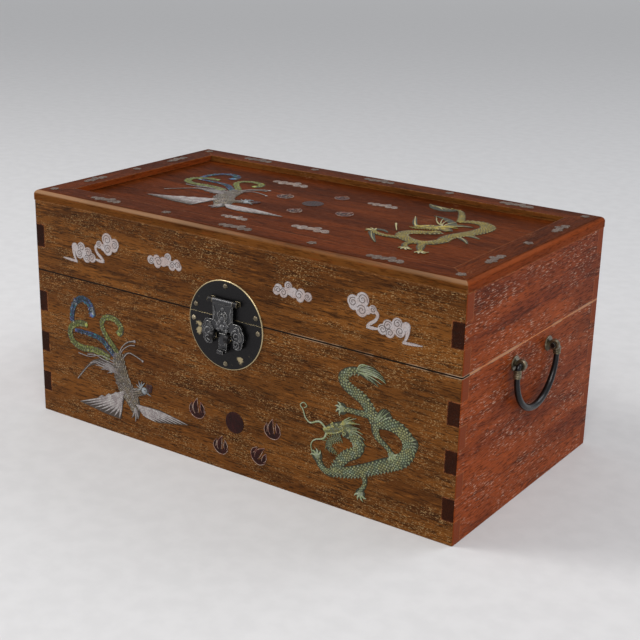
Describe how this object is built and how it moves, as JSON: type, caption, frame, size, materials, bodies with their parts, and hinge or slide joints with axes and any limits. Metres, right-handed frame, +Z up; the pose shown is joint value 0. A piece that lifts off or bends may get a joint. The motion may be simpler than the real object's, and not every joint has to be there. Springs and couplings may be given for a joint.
{
  "type": "game box",
  "caption": "Wooden tile-game case with a hinged lid, hanging hasp lock, bail handles, shell inlays and lift-out inner drawers.",
  "frame": {"origin": "centre of the underside", "axes": "+Z up, front with the lock faces -Y, lid hinged along +Y, long side along X"},
  "size_m": [0.4188, 0.2375, 0.1924],
  "materials": {
    "front_rosewood": "oiled satin, golden brown with dark streaks",
    "side_rosewood": "oiled satin, red brown with pale filled pores",
    "top_rosewood": "polished, deep red brown",
    "inner_wood": "plain, unpolished",
    "drawer_wood": "waxed",
    "dark_brass": "black patina, worn to brass on the edges",
    "worn_brass": "patinated, worn bright on high spots",
    "dragon_shell": "engraved shell, green gold sheen",
    "phoenix_shell": "engraved shell, grey with teal and yellow green feathers",
    "dark_shell": "dark red shell, polished",
    "pale_shell": "engraved shell, grey white"
  },
  "bodies": {
    "case": {"front_board": "front_rosewood", "back_board": "side_rosewood", "left_board": "side_rosewood", "right_board": "side_rosewood", "base_panel": "inner_wood", "divider": "inner_wood", "drawer_guides": "inner_wood", "lock_plate_lower": "dark_brass", "lock_plate_lower_nails": "worn_brass", "lock_staples": "dark_brass", "left_hinge_lower_leaf": "worn_brass", "right_hinge_lower_leaf": "worn_brass", "hinge_lower_nails": "worn_brass", "hinge_pins": "worn_brass", "right_handle_eyes": "worn_brass", "left_handle_eyes": "worn_brass", "right_handle_roses": "worn_brass", "left_handle_roses": "worn_brass", "front_dragon_inlay": "dragon_shell", "front_phoenix_inlay": "phoenix_shell", "front_pearl_inlays": "dark_shell"},
    "lid": {"lid_front_board": "front_rosewood", "lid_back_board": "side_rosewood", "lid_left_board": "side_rosewood", "lid_right_board": "side_rosewood", "lid_frame_front": "top_rosewood", "lid_frame_back": "top_rosewood", "lid_frame_left": "top_rosewood", "lid_frame_right": "top_rosewood", "lid_panel": "top_rosewood", "lock_plate_upper": "dark_brass", "lock_plate_upper_nails": "worn_brass", "hasp_pin": "dark_brass", "left_hinge_upper_leaf": "worn_brass", "right_hinge_upper_leaf": "worn_brass", "hinge_upper_nails": "worn_brass", "lid_cloud_inlays": "pale_shell", "lid_dragon_inlay": "dragon_shell", "lid_phoenix_inlay": "phoenix_shell", "lid_pearl_inlays": "dark_shell", "lid_panel_clouds": "pale_shell", "lid_frame_inlays": "pale_shell"},
    "hasp": {"hasp": "dark_brass"},
    "left_handle": {"left_handle": "dark_brass"},
    "right_handle": {"right_handle": "dark_brass"},
    "tile_drawer_1": {"tile_drawer_1_long_walls": "drawer_wood", "tile_drawer_1_end_walls": "drawer_wood", "tile_drawer_1_bottom": "drawer_wood"},
    "tile_drawer_2": {"tile_drawer_2_long_walls": "drawer_wood", "tile_drawer_2_end_walls": "drawer_wood", "tile_drawer_2_bottom": "drawer_wood"},
    "tile_drawer_3": {"tile_drawer_3_long_walls": "drawer_wood", "tile_drawer_3_end_walls": "drawer_wood", "tile_drawer_3_bottom": "drawer_wood"},
    "tile_drawer_4": {"tile_drawer_4_long_walls": "drawer_wood", "tile_drawer_4_end_walls": "drawer_wood", "tile_drawer_4_bottom": "drawer_wood"},
    "accessories_drawer": {"accessories_drawer_long_walls": "drawer_wood", "accessories_drawer_end_walls": "drawer_wood", "accessories_drawer_bottom": "drawer_wood"}
  },
  "joints": [
    {"name": "lid_hinge", "type": "hinge", "parent": "case", "child": "lid", "pos_m": [0, 0.1135, 0.125], "axis": [-1, 0, 0], "range_deg": [0, 180]},
    {"name": "hasp_pivot", "type": "hinge", "parent": "lid", "child": "hasp", "pos_m": [0, -0.1137, 0.138], "axis": [-1, 0, 0], "range_deg": [0, 165]},
    {"name": "left_handle_pivot", "type": "hinge", "parent": "case", "child": "left_handle", "pos_m": [-0.2052, -0.005, 0.1125], "axis": [0, 1, 0], "range_deg": [-3, 180]},
    {"name": "right_handle_pivot", "type": "hinge", "parent": "case", "child": "right_handle", "pos_m": [0.2052, -0.005, 0.1125], "axis": [0, -1, 0], "range_deg": [-3, 180]},
    {"name": "tile_drawer_1_lift", "type": "slide", "parent": "case", "child": "tile_drawer_1", "axis": [0, 0, 1], "range_m": [0, 0.06]},
    {"name": "tile_drawer_2_lift", "type": "slide", "parent": "tile_drawer_1", "child": "tile_drawer_2", "axis": [0, 0, 1], "range_m": [0, 0.06]},
    {"name": "tile_drawer_3_lift", "type": "slide", "parent": "tile_drawer_2", "child": "tile_drawer_3", "axis": [0, 0, 1], "range_m": [0, 0.06]},
    {"name": "tile_drawer_4_lift", "type": "slide", "parent": "tile_drawer_3", "child": "tile_drawer_4", "axis": [0, 0, 1], "range_m": [0, 0.06]},
    {"name": "accessories_drawer_lift", "type": "slide", "parent": "case", "child": "accessories_drawer", "axis": [0, 0, 1], "range_m": [0, 0.09]}
  ]
}
